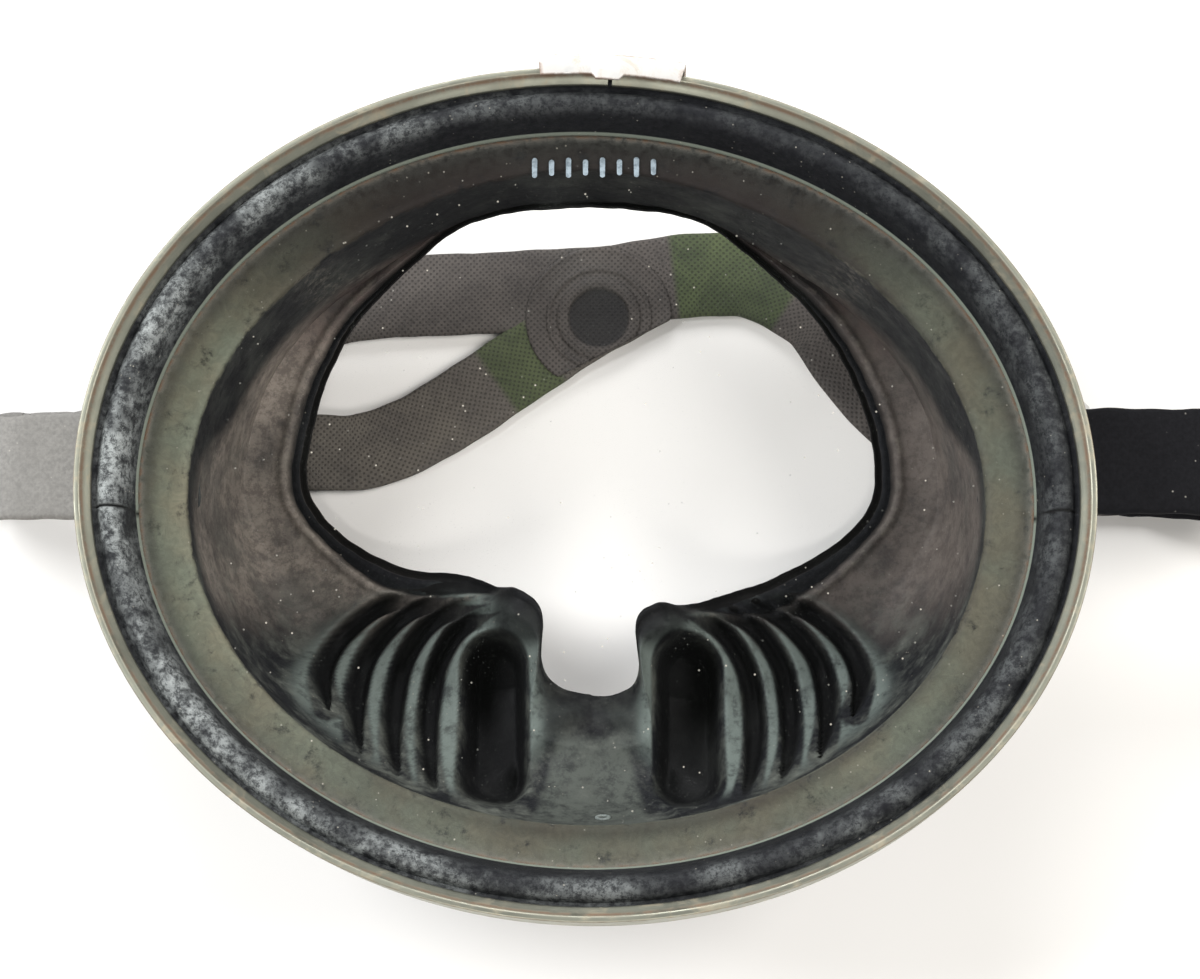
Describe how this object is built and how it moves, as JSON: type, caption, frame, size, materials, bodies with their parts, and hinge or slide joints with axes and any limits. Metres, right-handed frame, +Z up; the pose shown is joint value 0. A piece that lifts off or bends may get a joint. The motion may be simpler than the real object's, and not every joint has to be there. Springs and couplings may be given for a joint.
{
  "type": "diving mask",
  "caption": "Oval snorkelling mask: rubber skirt with nose pocket, tempered lens in a steel band with a clasp, buckles and a split rubber head strap.",
  "frame": {"origin": "on the table, under the middle of the bounding box, the mask lying on its skirt", "axes": "+Z up, out of the lens; +Y toward the forehead; +X toward the strap end that lies straight"},
  "size_m": [0.2636, 0.1556, 0.0633],
  "materials": {
    "skirt_rubber": "black moulded rubber, matt, with grey bloom",
    "lens_glass": "flat tempered glass, slightly dusty",
    "band_steel": "rolled stainless sheet, worn, rust along the edge",
    "clasp_steel": "pressed stainless sheet with rusted edges",
    "buckle_steel": "stamped stainless sheet",
    "strap_rubber": "dimpled rubber strap, dusty grey-brown"
  },
  "bodies": {
    "mask": {"skirt": "skirt_rubber", "lens": "lens_glass", "band": "band_steel", "clasp_sleeve": "clasp_steel", "buckle_pin_left": "buckle_steel", "buckle_pin_right": "buckle_steel", "strap_back": "strap_rubber"},
    "buckle_left": {"buckle_frame_left": "buckle_steel", "strap_end_left": "strap_rubber"},
    "buckle_right": {"buckle_frame_right": "buckle_steel", "strap_end_right": "strap_rubber"},
    "bar_left": {"buckle_bar_left": "buckle_steel"},
    "bar_right": {"buckle_bar_right": "buckle_steel"}
  },
  "joints": [
    {"name": "buckle_left_swing", "type": "hinge", "parent": "mask", "child": "buckle_left", "pos_m": [-0.08116, 0.00775, 0.031], "axis": [0, 1, 0], "range_deg": [0, 25]},
    {"name": "buckle_right_swing", "type": "hinge", "parent": "mask", "child": "buckle_right", "pos_m": [0.07784, 0.00775, 0.031], "axis": [0, -1, 0], "range_deg": [0, 25]},
    {"name": "bar_left_float", "type": "slide", "parent": "buckle_left", "child": "bar_left", "axis": [-1, 0, 0], "range_m": [0, 0.0018]},
    {"name": "bar_right_float", "type": "slide", "parent": "buckle_right", "child": "bar_right", "axis": [1, 0, 0], "range_m": [0, 0.0018]}
  ]
}
